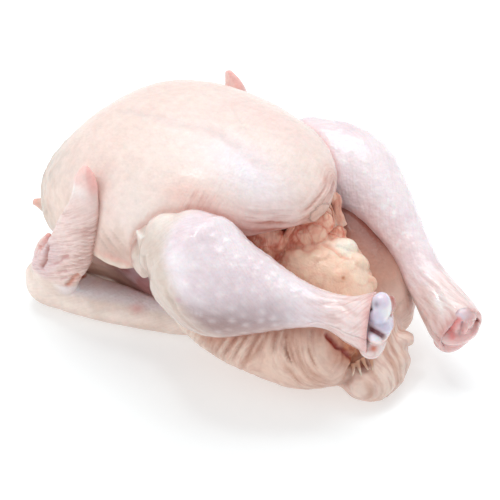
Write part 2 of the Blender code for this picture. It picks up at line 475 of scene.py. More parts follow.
# %% Stations of the drumsticks
DRUMSTICK_RIGHT = (
    # x, y, z, half width, height above, depth below
    (-15, -56, 72, 5, 7, 8),
    (-12, -55.5, 72, 11, 13, 12),
    (-5, -54.5, 70, 17, 19.5, 15),
    (2, -53.5, 68, 21, 25, 20),
    (11, -53.5, 65, 24, 29.5, 25),
    (26, -53, 62, 24.5, 26, 27),
    (45, -47, 60, 19.5, 18, 18),
    (63, -40, 59, 12, 11, 9),
    (78, -34, 59, 9, 8.5, 7.5),
    (88, -31, 58, 10.5, 12, 12),
    (95, -28, 58, 13, 15, 15.5),
)
DRUMSTICK_LEFT = (
    # x, y, z, half width, height above, depth below
    (-22, 47.5, 63, 7, 8, 8),
    (-17, 50.5, 63, 17, 18, 18),
    (-1, 55, 63, 24.5, 25, 25),
    (18, 57, 61.5, 25.5, 26, 26),
    (39, 52.5, 55.5, 19.5, 20.5, 20),
    (61, 45, 47, 13, 13.5, 12),
    (80, 37, 39, 10.5, 11, 9),
    (96, 31, 32.5, 12, 13.5, 10.5),
    (105, 27.5, 29, 12.5, 15.5, 14),
    (110, 25.5, 27.5, 12, 15.5, 15),
)
KNEE_LOBE = (
    (-11, -58, 79, 4, 3),
    (-12.5, -60.5, 72, 7, 4.5),
    (-12, -62, 66, 7.5, 5),
    (-11, -63, 61, 7.5, 5),
    (-8, -64, 56, 4, 3),
)
LEG_GRID = 0.85

drumstick_right = grow_together(
    "drumstick_right",
    [limb("leg", DRUMSTICK_RIGHT), limb("knee_lobe", KNEE_LOBE, upright=(0, -1, 0))],
    LEG_GRID,
    6,
)
drumstick_left = grow_together("drumstick_left", [limb("leg", DRUMSTICK_LEFT)], LEG_GRID, 6)

# %% [markdown]
# ## Wings
# The wing folds back on itself: the forearm lies along the board, and the flat hand with its pointed tip
# turns up against the breast. The thumb is the small cone at the wrist.

# %% Stations of the wings
FOREARM = (
    (-2, -32, 11, 6, 6),
    (-12, -34, 11, 9, 8.5),
    (-30, -41, 10.5, 10.5, 9),
    (-52, -49, 10.5, 11.5, 9.5),
    (-74, -56, 12, 11.5, 11),
    (-89, -60, 16, 10.5, 12.5),
    (-96, -60, 19, 5, 6),
)
HAND_RIGHT = (
    # x, y, z, half thickness, half width
    (-87, -60, 12, 5, 9),
    (-79.5, -62, 21, 7.5, 13.5),
    (-68, -64.5, 36, 6.8, 12.5),
    (-60, -65, 49, 6.2, 12.8),
    (-55.6, -64.5, 59, 5.8, 12.3),
    (-50.9, -63.5, 73, 5.2, 10),
    (-51.2, -61, 82, 4.6, 7.8),
    (-52.8, -58.8, 89.5, 3.8, 5.8),
    (-53.4, -57.8, 93.5, 2.4, 3.4),
    (-53.6, -57.5, 95.5, 0.9, 1.3),
)
HAND_LEFT = (
    (-89, 58, 12, 5, 9),
    (-88, 59, 20, 7.5, 15),
    (-82, 60, 36, 6.5, 13.5),
    (-75, 60, 56, 5.5, 10.5),
    (-66, 60, 74, 4.6, 8.5),
    (-60, 59.5, 84, 4, 7.5),
    (-62, 59, 90, 3, 4.5),
    (-65, 59, 94.5, 1.2, 1.6),
)
THUMB = (
    (-88, -59, 20, 5.5, 5.5),
    (-86.5, -60, 30, 5, 5.5),
    (-83, -61, 39, 3.8, 4),
    (-79, -62, 47, 1.4, 1.4),
)
AHEAD = (-1, 0, 0)
WING_GRID = 0.65

wing_right = grow_together(
    "wing_right",
    [
        limb("forearm", FOREARM),
        limb("hand", HAND_RIGHT, upright=AHEAD),
        limb("thumb", THUMB, upright=AHEAD),
    ],
    WING_GRID,
    10,
)
wing_left = grow_together(
    "wing_left",
    [
        limb("forearm", mirrored(FOREARM)),
        limb("hand", HAND_LEFT, upright=AHEAD),
        limb("thumb", mirrored(THUMB), upright=AHEAD),
    ],
    WING_GRID,
    10,
)

# %% [markdown]
# ## Fat at the opened belly
# A pad of soft cream fat closes the opening under the breast's rim. It isn't one ball: lobes of fat lie
# side by side in it, so a few lumps are grown into the pad, and thin strands of torn membrane hang between
# it and the rim. The strands are thin tubes of their own.

# %% Fat pad and strands
BELLY_FAT = (
    (20, 2, 44, 8, 8),
    (28, 3, 48, 20, 11),
    (41, 4, 49, 21.5, 12),
    (53, 2, 45.5, 18, 12.5),
    (63, -1, 38, 14, 12),
    (70, -2, 30, 7, 8),
)
FAT_LOBES = (
    # x, y, z and three radii, the first of them along the view's width
    (48, 11, 55.5, 8.5, 6, 6),
    (38, 20, 57, 5.5, 4.5, 4.5),
    (58, 9, 52, 7, 6, 6),
    (66, 8, 45.5, 5.5, 4, 5),
    (57, -3, 49, 9, 7, 7.5),
    (45, -2, 54, 9, 7, 7),
    (35, -8, 53.5, 7, 6, 7),
    (31, 4, 55, 8, 6, 6.5),
    (19, -14, 58, 14, 6, 13),
    (33, 2, 62, 11, 6, 8),
    (34, 8, 67, 9, 5, 8),
)
VIEW_WIDTH = (0.77, 0.64, 0)
STRANDS = (
    ((36, 17, 79, 1.6, 1), (36.5, 19.5, 77, 2.6, 1.2), (37.5, 21.5, 68, 2.2, 1), (39.5, 22.5, 60, 3, 1.6)),
    ((37, 9.5, 76.5, 1.6, 1), (38, 12.5, 73, 1.6, 0.9), (36.5, 14.5, 65, 1.5, 0.9), (36, 15, 59, 2.4, 1.3)),
    (
        (36.5, 13.5, 77, 1.2, 0.9),
        (37, 17, 72, 0.8, 0.7),
        (37.5, 18.5, 65, 0.9, 0.8),
        (38, 18.5, 58, 1.6, 1.2),
    ),
    ((33, -8, 73, 1.5, 1), (29, -7, 66, 1.6, 0.9), (26, -7.5, 60, 1.8, 1), (26, -9, 54, 2, 1.2)),
)
FAT_GRID = 0.7
STRAND_GRID = 0.45

fat = grow_together(
    "fat_pad",
    [limb("pad", BELLY_FAT)] + [ball("lobe", row[:3], row[3:], along=VIEW_WIDTH) for row in FAT_LOBES],
    FAT_GRID,
    4,
)
strands = grow_together(
    "membrane_strands",
    [limb("strand", row, upright=TOWARDS_CAMERA) for row in STRANDS],
    STRAND_GRID,
    2,
)

# %% [markdown]
# ## Cut joints
# At the ankle the shin bone ends in wet, bluish cartilage. On the near leg its knobs stand out of the skin,
# with the slit of the joint between them. On the far leg the skin still reaches over them, and flesh fills
# the cut.

# %% Hock joints
HOCK_KNOBS = (
    # out along the leg, aside, above it, and the three radii
    (-12, 0, 0, 12, 6.5, 6.5),
    (3, 0, 8.5, 5.5, 7.2, 7.8),
    (3, 0, -0.5, 6.5, 11.5, 7),
    (0.5, -1, -10, 6.5, 9, 7),
)
TENDON = (99.8, -21.5, 66.5)
TENDON_RADII = (2.4, 2.8, 5)
LEFT_HOCK_SUNK = 5
LEFT_HOCK_SIZE = 0.95
HOCK_GRID = 0.5


def leg_end(leg):
    """Where a leg ends, and which way it points there."""
    end = np.array(leg[-1][:3], float)
    return end, unit(end - leg[-2][:3])


def hock(name, leg, sunk=0, size=1.0, more=()):
    """Knobs at the end of a leg, with any other forms given, under one wet surface."""
    end, outward = leg_end(leg)
    end -= outward * sunk
    across = unit(np.cross((0, 0, 1), outward))
    upward = np.cross(outward, across)
    knobs = [
        ball(
            "knob",
            end + outward * out + (across * aside + upward * above) * size,
            (radii[0], radii[1] * size, radii[2] * size),
            along=outward,
        )
        for out, aside, above, *radii in HOCK_KNOBS
    ]
    return grow_together(name, knobs + list(more), HOCK_GRID, 16)


hock_right = hock("hock_cartilage_right", DRUMSTICK_RIGHT, more=[ball("tendon", TENDON, TENDON_RADII)])
hock_left = hock("hock_cartilage_left", DRUMSTICK_LEFT, LEFT_HOCK_SUNK, LEFT_HOCK_SIZE)

# %% [markdown]
# ## Torn skin at the vent
# Beside the tail the skin was torn when the bird was drawn. A few stiff shreds are left standing there,
# each a small cone.

# %% Vent shreds
SHREDS = (
    ((80.5, -21, 22.5, 1.1, 1.1), (82, -22, 20, 0.7, 0.7), (83, -24, 18.2, 0.3, 0.3)),
    ((81.5, -19, 23.5, 1.2, 1.1), (83.8, -19.8, 20, 0.7, 0.7), (85.6, -20.4, 17, 0.3, 0.3)),
    ((83, -16.8, 24.5, 1.1, 1.1), (85, -17, 21.5, 0.7, 0.7), (87, -17.2, 19.4, 0.3, 0.3)),
    ((84.5, -13.5, 25.5, 1.2, 1.1), (86.8, -14.3, 22, 0.8, 0.7), (88.4, -15.4, 18.6, 0.3, 0.3)),
)
shreds = grow_together("vent_shreds", [limb("shred", row) for row in SHREDS], STRAND_GRID, 1)

# %% [markdown]
# ## Follicles
# Feathers grow in staggered rows, so the dots on a drumstick stand in a loose lattice wound round the leg.
# Each point's place along the leg and round it gives its cell of that lattice, and the nearest dot of the
# cells about it.


# %% Dots in staggered rows
FOLLICLE_SPACING = 6.0
FOLLICLE_SIZE = 1.5
FOLLICLES_ROUND = 20


def leg_place(points, stations):
    """How far along the leg each point is, its turn about the spine and its distance from the spine."""
    spine = smooth_between(stations)[:, :3]
    tangent, side, up = directions(spine)
    before = np.concatenate([[0], np.cumsum(np.linalg.norm(np.diff(spine, axis=0), axis=1))])
    nearest = np.linalg.norm(points[:, None] - spine[None], axis=2).argmin(axis=1)
    gap = points - spine[nearest]
    along = before[nearest] + (gap * tangent[nearest]).sum(axis=1)
    out_side = (gap * side[nearest]).sum(axis=1)
    out_up = (gap * up[nearest]).sum(axis=1)
    return along, np.arctan2(out_up, out_side), np.hypot(out_side, out_up)


def random_of(*keys):
    """The same value from 0 to 1 each time for the same whole numbers."""
    key = np.sin(sum(k * w for k, w in zip(keys, (127.1, 311.7, 74.7)))) * 43758.5453
    return key - np.floor(key)


def follicles(along, turn, radius):
    """1 on each dot and 0 between, with dots of uneven place and strength."""
    u = along / FOLLICLE_SPACING
    v = turn / (2 * math.pi) * FOLLICLES_ROUND
    dots = np.zeros(len(along))
    for du, dv in product((-1, 0, 1), repeat=2):
        row = np.floor(u) + du
        shift = 0.5 * (row % 2)
        column = np.floor(v - shift) + dv
        wrapped = column % FOLLICLES_ROUND
        centre_u = row + 0.5 + 0.4 * (random_of(row, wrapped) - 0.5)
        centre_v = column + shift + 0.5 + 0.4 * (random_of(row, wrapped, 5) - 0.5)
        round_leg = (v - centre_v) * 2 * math.pi * radius / FOLLICLES_ROUND
        gap = np.hypot((u - centre_u) * FOLLICLE_SPACING, round_leg)
        strength = 0.45 + 0.55 * random_of(wrapped, row)
        dots = np.maximum(dots, strength * near_to(gap, FOLLICLE_SIZE))
    return dots


print("dots round a leg:", FOLLICLES_ROUND, "in rows", FOLLICLE_SPACING, "mm apart")

# %% [markdown]
# ## Creases, threads and bare edges
# Three more marks come back all over the bird. A crease is a groove with a soft ridge on either side of it.
# Threads are the fine dark or red lines where the skin's noise crosses zero, as veins and torn fibres do.
# And what faces down is painted a little darker than what faces up, as shade on the underside.


# %% More brushes
def crease(points, line, width, ridge=0.5):
    """Below 0 in a groove along a line and above 0 on the ridges beside it, fading towards its end."""
    gap, along = line_distance(points, line)
    fade = ramp(along, -0.001, 0.12) * ramp(along, 1.001, 0.45)
    return (ridge * near_to(gap - 2.1 * width, 1.2 * width) - near_to(gap, width)) * fade


def threads(points, size, seed, thickness=0.1):
    """1 along the fine lines where smooth noise changes sign."""
    return near_to(lumps(points, size, seed), thickness)


def downward_shade(piece):
    return ramp(-normals_of(piece)[:, 2], -0.25, 0.75)


def dress(piece, base, layers, wrinkle, grain, wet):
    """Paints a piece layer over layer, and keeps how wrinkled and wet it is and how its wrinkles run."""
    count = len(piece.data.vertices)
    colours = np.tile(colour_of(base), (count, 1))
    for code, share in layers:
        colours = mixed(colours, code, share)
    rgba = np.column_stack([colours, np.ones(count)]).astype(np.float32)
    piece.data.attributes.new("tint", "FLOAT_COLOR", "POINT").data.foreach_set("color", rgba.ravel())
    for name, values in (("wrinkle", wrinkle), ("grain", grain), ("wet", wet)):
        kept = np.broadcast_to(values, count).astype(np.float32)
        piece.data.attributes.new(name, "FLOAT", "POINT").data.foreach_set("value", kept)
    print(f"{piece.name}: {len(layers)} layers of colour on {count} points")


# %% [markdown]
# ## The body's marks
# Every mark on the body has a line in the bird's frame: the keel, the breast's rim over the opened belly,
# the ragged lower edge of the breast's skin over the arm, the fan of folds under the near drumstick and the
# torn crease beside the vent.

# %% Where the body's marks lie
KEEL = (
    (-75, -19, 101),
    (-54.5, -18.2, 106.5),
    (-36.6, -16.2, 107.3),
    (-17.6, -8, 106.8),
    (-5.7, -8, 105.3),
    (7.4, -9.6, 102.3),
    (16.5, -8.8, 99),
    (25.7, -8.1, 94.1),
)
RIM = (
    (-5, -44.5, 92.5),
    (2.9, -42.9, 90.8),
    (7.8, -40.9, 89.1),
    (14.9, -37.8, 85.6),
    (21.2, -33.2, 81.5),
    (26.2, -27.6, 79.6),
    (31.7, -19.6, 77.9),
    (36.2, -10.3, 75.6),
    (39, -2.4, 76.7),
    (39.4, 6.2, 79.3),
    (37.4, 14.9, 80.9),
    (34, 22.3, 82.7),
)
# the rim's length in millimetres, which turns a share of it into a place along it
RIM_LENGTH = 110
FRINGE = (
    (-47, -64, 55),
    (-40.2, -64.6, 54),
    (-34.2, -65, 55.4),
    (-26, -64.5, 55.9),
    (-19.9, -63.4, 55),
    (-15, -61.7, 54),
)
FOLDS = (
    # each from the drumstick down the thigh, its width and its depth
    (((24.4, -61.2, 34), (17, -59, 22)), 0.7, 0.5),
    (((29, -60.1, 36), (21, -57.3, 20)), 0.8, 0.7),
    (((34.4, -58.4, 38), (27, -58.1, 21)), 0.7, 0.5),
    (((40.1, -55.7, 41), (33.9, -57.9, 28), (28, -56, 17)), 1.0, 0.9),
    (((44.9, -52.8, 44), (38.8, -56.5, 28.5), (35, -55, 18)), 0.8, 0.7),
    (((48.9, -50.4, 45), (44.5, -54.8, 28.7), (40, -54, 17)), 1.2, 0.9),
    (((52.3, -48, 46), (50.2, -51.9, 34.5), (46, -52, 22)), 0.8, 0.6),
    (((55.7, -45.7, 47), (55.8, -49.3, 35.8), (53, -50, 22)), 1.1, 0.8),
    (((58.3, -43.7, 47), (61.2, -47.2, 35.5), (67, -46.1, 24)), 0.9, 0.9),
    (((57.4, -46.9, 42), (62.4, -47.2, 33), (70, -44.6, 21)), 0.6, 0.6),
    (((66.6, -35.7, 46), (69.6, -39.4, 38), (71, -40, 31)), 0.6, 0.5),
)
VENT_CREASE = (
    (70.9, -31, 43.5),
    (74, -30.8, 39.7),
    (76.5, -29.3, 36),
    (79, -26.2, 31.8),
    (81, -22.4, 27),
    (82, -19.5, 22),
)
THIGH_END = ((80.5, -23, 22), (82.3, -24.9, 16.5), (81, -26, 14), (77.4, -30, 11), (75, -33, 7))
FRONT_STREAKS = (
    ((-104, -44, 50), (-97, -50, 47), (-88, -54, 42)),
    ((-101, -46, 56), (-94, -51, 52), (-84, -56, 45)),
    ((-104, -40, 44), (-98, -47, 41), (-91, -52, 37)),
)
SIDE_WRINKLES = (
    ((-42, -64.5, 66), (-34, -65, 60), (-24, -64.5, 56)),
    ((-40, -64, 71), (-31, -64.8, 64), (-21, -63.8, 58)),
    ((-36, -64, 73), (-28, -64, 68), (-18, -62.8, 61)),
)
print(len(FOLDS), "folds fan out under the near drumstick")

# %% [markdown]
# ## Regions of the body
# A real bird's skin changes from place to place, so each region gets a share from 0 to 1 at every point:
# the pebbly front, the breast, the shaded recess under it, the inner walls between the legs, the thighs and
# the tail. A point's distance to the legs and wings says where skin touches skin.

# %% Measure the body
points = measured(body)
x, y, z = points.T
either_side = np.abs(y)
folded = np.stack([x, -either_side, z], axis=1)
right_gap = distance_to(points, tree_of(drumstick_right), 16)
left_gap = distance_to(points, tree_of(drumstick_left), 20)
leg_gap = np.minimum(right_gap, left_gap)
wing_gap = np.minimum(*(distance_to(points, tree_of(wing), 10) for wing in (wing_right, wing_left)))

front = ramp(-x, 56, 104) * ramp(z, 102, 62)
breast_share = ramp(z, 50, 58) * ramp(x, 42, 36)
under = (1 - breast_share) * ramp(x, -94, -62)
recess = ramp(x, -66, -52) * ramp(x, 8, -6) * ramp(either_side, 36, 48) * ramp(z, 60, 56)
recess *= np.maximum(ramp(either_side, 63.8, 61.6), ramp(z, 51, 47))
between = ramp(z, 76, 70) * ramp(x, -12, 0) * ramp(-y, 38, 30) * ramp(y, 50, 42) * ramp(z, 12, 26)
under_leg_red_and_shade = near_to(right_gap, 9) * ramp(x, 14, 30) * ramp(z, 60, 50)
thigh_share = ramp(z, 48, 42) * ramp(x, 8, 18) * ramp(x, 80, 72) * ramp(either_side, 24, 34)
tail_share = ramp(x, 74, 84)
print(f"{len(points)} points, {(leg_gap < 2).sum()} of them close to a drumstick")

# %% [markdown]
# ## Wrinkles at the rim
# Where the breast's skin turns in over the belly it gathers: long wrinkles follow the rim, and towards the
# knee short ones cross it. A line's distance runs across the wrinkles and its length runs along them, so
# noise that is drawn out over these two gives wrinkles that follow the rim's own curve.

# %% Rim wrinkles
rim_gap, rim_along = line_distance(points, RIM)
rim_place = rim_along * RIM_LENGTH
above_rim = ramp(z, 60, 66)
long_wrinkles = near_to(rim_gap - 3.5, 5) * above_rim * ramp(rim_along, 0.26, 0.42)
short_wrinkles = near_to(rim_gap - 3, 3.5) * above_rim * ramp(rim_along, 0.25, 0.15)
short_wrinkles *= ramp(rim_along, 0.001, 0.05)
rim_lines = streaks_along(rim_gap, rim_place, 1.5, 5)
hatching = streaks_along(rim_place, rim_gap, 1.5, 15)
below_rim = line_distance(points, np.array(RIM) - (0, 0, 3))[0]
rim_shade = near_to(below_rim, 3.6) * ramp(rim_along, 0.02, 0.22) * ramp(rim_along, 0.85, 0.45)
print("points with long wrinkles:", (long_wrinkles > 0.5).sum())

# %% [markdown]
# ## Folds, torn skin and tail
# The thigh's loose skin fans out in folds from under the drumstick. At the vent the skin was cut and torn,
# which leaves a red crease, rough tissue and a small hole. The tail is wrinkled right across.

# %% Folds and torn skin
keel = stroke(points, KEEL, 3.2)
keel_ridge = stroke(points, np.array(KEEL) + (0, -7, 0), 5)
side_wrinkles = sum(crease(folded, line, 1.2, 0.6) for line in SIDE_WRINKLES)
streaks = sum(crease(folded, line, 1.4, 0.7) for line in FRONT_STREAKS)
fringe_gap, fringe_along = line_distance(folded, FRINGE)
fringe = near_to(fringe_gap, 2.2) * ramp(fringe_along, -0.01, 0.15)
folds = sum(depth * crease(folded, line, width) for line, width, depth in FOLDS)
fan = x - 0.45 * (z - 40) * np.clip((54 - x) / 10, -1, 1)
thigh_lines = streaks_along(fan, z, 1.4, 26)
thigh_end = stroke(points, THIGH_END, 1.3)
vent = stroke(points + 0.8 * lumps(points, 3, 29)[:, None], VENT_CREASE, 1.25)
vent_skin = np.minimum(1, 1.6 * spot(points, (79, -19, 31), (7, 8, 10))) * ramp(x - 0.9 * y - z, 48, 53)
vent_hole = spot(points, (84, -16.5, 21), (3, 3.5, 3.5))
tail_lines = x * 0.4 - y * 0.75 + z * 0.5
tail_wrinkles = streaks_along(tail_lines, y + x, 1.6, 18)
print("deepest fold:", folds.min().round(2), "mm")

# %% [markdown]
# ## Push the body's surface
# All marks add up to one relief in millimetres, and the surface is pushed once. The skin over the arm is
# then moved inwards where the recess lies, so that the breast's lower edge stands free above it.

# %% Body relief
RECESS_DEPTH = 7.5

rise = 0.5 * lumps(points, 34, 1) + 0.2 * lumps(points, 13, 2)
rise += front * (0.35 * lumps(points, 3.6, 4) + 0.2 * lumps(points, 2, 14))
rise += 0.7 * streaks + 0.25 * side_wrinkles
rise += 0.3 * keel_ridge - 0.7 * keel
rise += long_wrinkles * 0.7 * rim_lines + short_wrinkles * 0.25 * hatching
rise += folds + 0.35 * thigh_share * thigh_lines
rise += fringe * 0.9 * lumps(points, 2.6, 16)
rise -= 2.0 * vent + 1.4 * thigh_end + 2.2 * vent_hole
rise += vent_skin * (0.9 * lumps(points, 2.8, 6) + 0.6 * lumps(points, 1.8, 17))
rise += tail_share * (0.35 * tail_wrinkles + 0.4 * lumps(points, 6, 7))
rise -= 0.6 * near_to(leg_gap, 1.6)
push(body, rise)
tucked = points_of(body)
tucked[:, 1] -= np.sign(y) * RECESS_DEPTH * recess * MM
place_points(body, tucked)
print("body relief from", rise.min().round(2), "to", rise.max().round(2), "mm")

# %% [markdown]
# ## Paint the body
# Each layer turns the colour under it by its share, as thin washes do. The skin is cream over fat, lilac
# over the breast's muscle and red where it was torn, with painted shade, brownish, in the folds.

# %% Body colours
body_layers = [
    ("#F3D8D2", 0.6 * ramp(lumps(points, 17, 8), 0, 1)),
    ("#F3DDD4", 0.7 * ramp(-x, 20, 62)),
    # grey pebbles at the front, brown ones low on the side
    ("#DECDBF", 0.9 * front),
    ("#BCB2AC", front * 0.45 * ramp(lumps(points * (1, 1, 0.6), 2.6, 4), 0.3, -0.6)),
    ("#C4A896", 0.45 * ramp(lumps(points, 3.4, 28), -0.1, 0.6) * ramp(z, 84, 62) * ramp(either_side, 44, 58)),
    # the breast: lilac where light passes to the muscle, painted shade in the groove over the keel
    ("#F8F1F8", 0.85 * spot(points, (12, -16, 99), (24, 13, 30))),
    ("#D9CCCB", 0.35 * keel),
    ("#F4D3CF", 0.5 * spot(points, (-8, 22, 105), (26, 12, 20))),
    ("#F3DACD", 0.7 * breast_share * ramp(z, 80, 62) * ramp(either_side, 40, 55)),
    ("#C7A396", 0.75 * spot(folded, (-30, -64, 60), (16, 8, 8))),
    # painted shade in the grooves of the side wrinkles and the front streaks
    ("#B9A196", 0.4 * ramp(-side_wrinkles, 0.2, 0.9)),
    ("#AFA5A3", 0.5 * ramp(-streaks, 0.2, 0.9)),
    # the rim and the fringe; painted shade in the hollows of the rim's wrinkles and in a band under the rim
    ("#F2C9BF", 0.6 * near_to(rim_gap, 9) * above_rim),
    ("#C98271", 0.9 * long_wrinkles * ramp(rim_lines, 0.1, -0.6)),
    ("#DDA79C", 0.35 * short_wrinkles * ramp(hatching, 0.1, -0.7)),
    ("#B97364", 0.6 * rim_shade),
    ("#E0A79C", 0.8 * fringe),
    # below the breast, and between the legs
    ("#EDCDBC", under),
    ("#E5DACC", under * 0.7 * ramp(either_side, 50, 60) * ramp(x, 50, 15)),
    ("#D9A996", 0.9 * between),
    ("#C67A69", between * ramp(x, 42, 30)),
    ("#EACDC1", 0.85 * between * ramp(y, 8, 14) * ramp(z + 0.3 * (70 - x), 46, 32)),
    # painted shade beside the far drumstick
    ("#86493C", between * near_to(left_gap, 15) * ramp(x, 80, 52)),
    # the thigh's folds: painted shade under the drumstick over the thigh's redder skin, painted shade in the
    # hollows, painted light on the ridges
    ("#B4735B", 0.8 * under_leg_red_and_shade),
    ("#A3614A", 0.75 * ramp(-folds, 0.1, 0.9)),
    ("#EBD3C3", 0.5 * ramp(folds, 0.15, 0.6)),
    ("#BA8169", 0.6 * thigh_share * ramp(thigh_lines, 0, -0.8)),
    ("#EFD9CA", 0.35 * thigh_share * ramp(thigh_lines, 0.1, 0.8)),
    # the tail and the torn vent
    ("#EFD8CC", tail_share * ramp(z, 30, 24)),
    # painted shade in the hollows of the tail's wrinkles, painted light on their ridges
    ("#CC9C86", 0.7 * tail_share * ramp(tail_wrinkles, 0, -0.6)),
    ("#F1DDD0", 0.6 * tail_share * ramp(tail_wrinkles, 0.1, 0.7)),
    ("#C68460", 0.95 * vent_skin),
    ("#9A5237", 0.85 * vent_skin * threads(points, 3, 19, 0.3)),
    ("#97301A", 1.7 * vent),
    ("#A86C56", 0.5 * thigh_end),
    ("#8B4630", vent_hole),
    # the recess, dark with painted shade over the upper arm's mauve skin; painted shade where skin touches
    # skin and on the underside; and the neck skin's tip
    ("#935A5C", recess),
    ("#B0939A", recess * 0.65 * ramp(lumps(points * (0.35, 1, 1), 3.2, 9), 0.1, 0.7)),
    ("#5E393B", recess * 0.8 * ramp(x, -36, -22)),
    ("#D9A497", 0.5 * near_to(leg_gap, 1.8) * ramp(recess + between, 0.5, 0)),
    ("#CFA397", 0.5 * near_to(wing_gap, 1.8) * ramp(recess, 0.5, 0)),
    ("#C8A596", 0.35 * downward_shade(body) * ramp(z, 70, 50)),
    ("#EDB4A8", 0.7 * ramp(-x, 114.5, 119)),
]
wrinkled = 0.12 + 0.9 * long_wrinkles + 0.45 * short_wrinkles
wrinkled += 0.65 * thigh_share + 0.7 * tail_share + 0.5 * front
rim_grain = np.where(rim_along < 0.255, rim_place, rim_gap)
thigh_or_rim = np.where((breast_share > 0.5) | (x < -20), rim_grain, fan)
dress(
    body,
    "#F7E6DF",
    body_layers,
    wrinkle=np.clip(wrinkled, 0, 1.1),
    grain=np.where(x > 78, tail_lines, thigh_or_rim),
    wet=0.4 + 0.5 * recess + 0.4 * vent_skin,
)

# %% [markdown]
# ## Drumstick relief and colour
# The drumstick's skin is so thin that the muscle tints it lilac, with a pale raised dot at every follicle.
# At the near knee and along the lower edge fat makes it cream, and painted shade makes it darkest where the
# leg turns away from the light. At the ankle the skin stands as a rim round the joint, so the leg's end face
# is pushed in.

# %% Marks and colours of each drumstick
CREAM_EDGE = (
    # z, and how far along x the cream reaches there
    (38, 52),
    (45, 40),
    (50, 34.5),
    (56, 30),
    (63, 24.5),
    (71, 18.5),
    (79, 12),
    (85, 6),
    (90, 3),
)
GLINT_RIDGE = ((-17, -62, 77.2), (-14.5, -62.8, 76.2), (-11.5, -63, 75))
LOBE_FOLDS = (
    ((-16.9, -63.5, 74), (-13.5, -66, 68), (-11, -67.2, 62)),
    ((-8.7, -66.3, 70), (-6, -68, 64), (-3, -69, 58)),
)
LOBE_EDGE = ((-13, -57, 82), (-16.2, -61, 78), (-17, -64, 71), (-17.7, -65.8, 63.9), (-13.6, -67, 60))
EDGE_FOLDS = (
    ((8, -72, 74), (16, -76, 62), (25, -74, 50), (36, -66, 42)),
    ((4, -70, 70), (12, -74, 58), (21, -72, 46), (33, -64, 39)),
    ((14, -76, 72), (21, -78, 61), (30, -74, 50), (41, -64, 43)),
)
GLINTS = ((42, 45.5, 75), (49.6, 43, 69.1), (59.5, 40.6, 61.7), (68.9, 34.1, 52.7))


def near_leg(points, share, dots):
    """The relief and the layers that only the near drumstick has."""
    x, y, z = points.T
    flat = seen(points)
    outer_side = ramp(-y, 48, 54)
    cream = ramp(x - np.interp(z, *np.array(CREAM_EDGE).T) + 2 * lumps(points, 9, 39), 8, -6)
    cream *= ramp(-y, 44, 54)
    lobe_folds = sum(crease(flat, seen(line), 1.1, 0.6) for line in LOBE_FOLDS) * outer_side
    edge_folds = sum(crease(points, line, 1.1, 0.6) for line in EDGE_FOLDS)
    glint_ridge = stroke(flat, seen(GLINT_RIDGE), 1.1) * outer_side
    layers = [
        # painted shade: darker towards the bottom, darkest low on the outer flank
        ("#AF9194", 0.9 * ramp(z, 74, 55) * ramp(share, 0.78, 0.6)),
        ("#85635F", 0.85 * spot(points, (38, -72, 52), (26, 14, 11))),
        ("#EDE2E6", 0.6 * dots * ramp(z, 74, 60)),
        ("#DCCABD", 0.95 * cream),
        ("#F9F0EA", ramp(z, 76, 90) * ramp(x, 12, -6)),
        # painted shade on the lower part of the cream, in the folds and in the crease along the lobe's edge
        ("#B7A597", 0.55 * cream * ramp(z, 60, 44)),
        ("#BC9D8E", 0.5 * ramp(-edge_folds, 0.2, 0.9) + 0.5 * ramp(-lobe_folds, 0.2, 0.9)),
        ("#B5786A", 0.7 * stroke(flat, seen(LOBE_EDGE), 0.9) * outer_side),
        # a painted highlight along the raised ridge
        ("#FFFAF2", glint_ridge),
        ("#C98FA0", 0.6 * spot(points, (23.6, -78.4, 65.2), (1.6, 2, 1.3))),
    ]
    return lobe_folds + 0.55 * edge_folds + 0.7 * glint_ridge, layers


def far_leg(points, share, dots):
    """No relief of its own for the far drumstick, but a pinker inner side and glints along its top."""
    x, y = points.T[:2]
    layers = [
        ("#E5BDB8", 0.55 * ramp(-y, -46, -30) * ramp(x, 24, 50) * ramp(share, 0.8, 0.6)),
        ("#FBF6F5", 0.8 * spot(points, (98, 23, 43), (7, 6, 7))),
        # painted highlights: white glints along the top
        ("#FFFFFF", 0.9 * stroke(points, GLINTS, 4) * ramp(lumps(points, 2.2, 47), 0.25, 0.7)),
    ]
    return 0, layers


print(len(EDGE_FOLDS) + len(LOBE_FOLDS), "folds on the near drumstick")


# %% Work the drumsticks
def ankle_cup(piece, stations, depth):
    """Pushes the end face in, so that the skin stands round the joint as a rim."""
    end, outward = leg_end(stations)
    points = measured(piece)
    gap = points - end
    out = gap @ outward
    aside = np.linalg.norm(gap - out[:, None] * outward, axis=1)
    inner = ramp(aside, stations[-1][3] * 0.9, stations[-1][3] * 0.72) * ramp(out, -3, 0)
    place_points(piece, scene_of(points - outward * (inner * depth)[:, None]))
    return inner, near_to(out + 0.5, 2.5)


